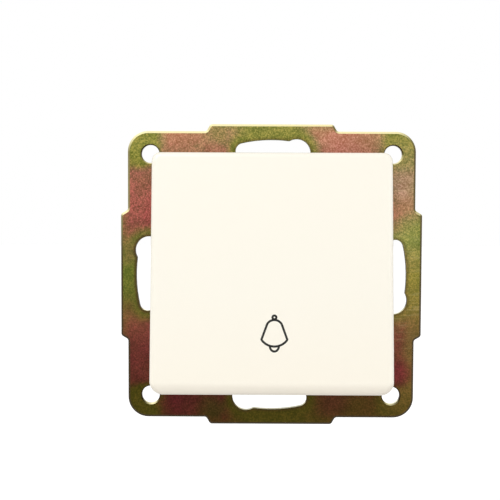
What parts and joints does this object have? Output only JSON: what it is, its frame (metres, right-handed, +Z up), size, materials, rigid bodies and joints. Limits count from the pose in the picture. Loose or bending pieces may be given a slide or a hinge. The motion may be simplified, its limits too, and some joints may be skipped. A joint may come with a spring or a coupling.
{
  "type": "doorbell push button",
  "caption": "Flush-mount doorbell push: a stamped square support frame with arc slots grips a contact housing, and a square key tilts against a spring to close the bell circuit.",
  "frame": {"origin": "middle of the support frame's back face, the face that lies on the wall", "axes": "+X is right as the user faces the wall, +Y runs into the wall and +Z is up"},
  "size_m": [0.071, 0.0369, 0.071],
  "materials": {
    "chromated_steel": "yellow chromated zinc with iridescent colours",
    "housing_plastic": "fine spark-eroded grain",
    "cover_plastic": "satin",
    "rocker_plastic": "satin",
    "key_plastic": "glossy ivory with a printed outline of a bell",
    "carrier_plastic": "satin",
    "contact_copper": "bare strip",
    "contact_silver": "bare silver",
    "spring_steel": "drawn wire",
    "zinc_steel": "bright zinc",
    "screw_steel": "bright zinc"
  },
  "bodies": {
    "base": {"support_frame": "chromated_steel", "housing": "housing_plastic", "housing_cover": "cover_plastic", "return_spring": "spring_steel", "fixed_tip_left": "contact_silver", "fixed_contact_left": "contact_copper", "terminal_cage_left": "zinc_steel", "clamp_plate_left": "zinc_steel", "terminal_screw_left": "screw_steel", "cover_screw_left": "screw_steel", "fixed_tip_right": "contact_silver", "fixed_contact_right": "contact_copper", "terminal_cage_right": "zinc_steel", "clamp_plate_right": "zinc_steel", "terminal_screw_right": "screw_steel", "cover_screw_right": "screw_steel"},
    "button": {"rocker": "rocker_plastic", "key": "key_plastic"},
    "carrier": {"contact_carrier": "carrier_plastic", "contact_bridge": "contact_copper", "contact_spring": "spring_steel", "bridge_tip_left": "contact_silver", "bridge_tip_right": "contact_silver"}
  },
  "joints": [
    {"name": "key_press", "type": "hinge", "parent": "base", "child": "button", "pos_m": [0, 0.001, 0], "axis": [1, 0, 0], "range_deg": [0, 7], "stiffness_Nm_per_rad": 0.12, "springref_deg": -20.05},
    {"name": "carrier_slide", "type": "slide", "parent": "base", "child": "carrier", "axis": [0, 1, 0], "range_m": [0, 0.00146], "deforming": ["return_spring"]}
  ],
  "couplings": [
    {"joint": "carrier_slide", "follows": "key_press", "m_per_rad": 0.01188}
  ]
}
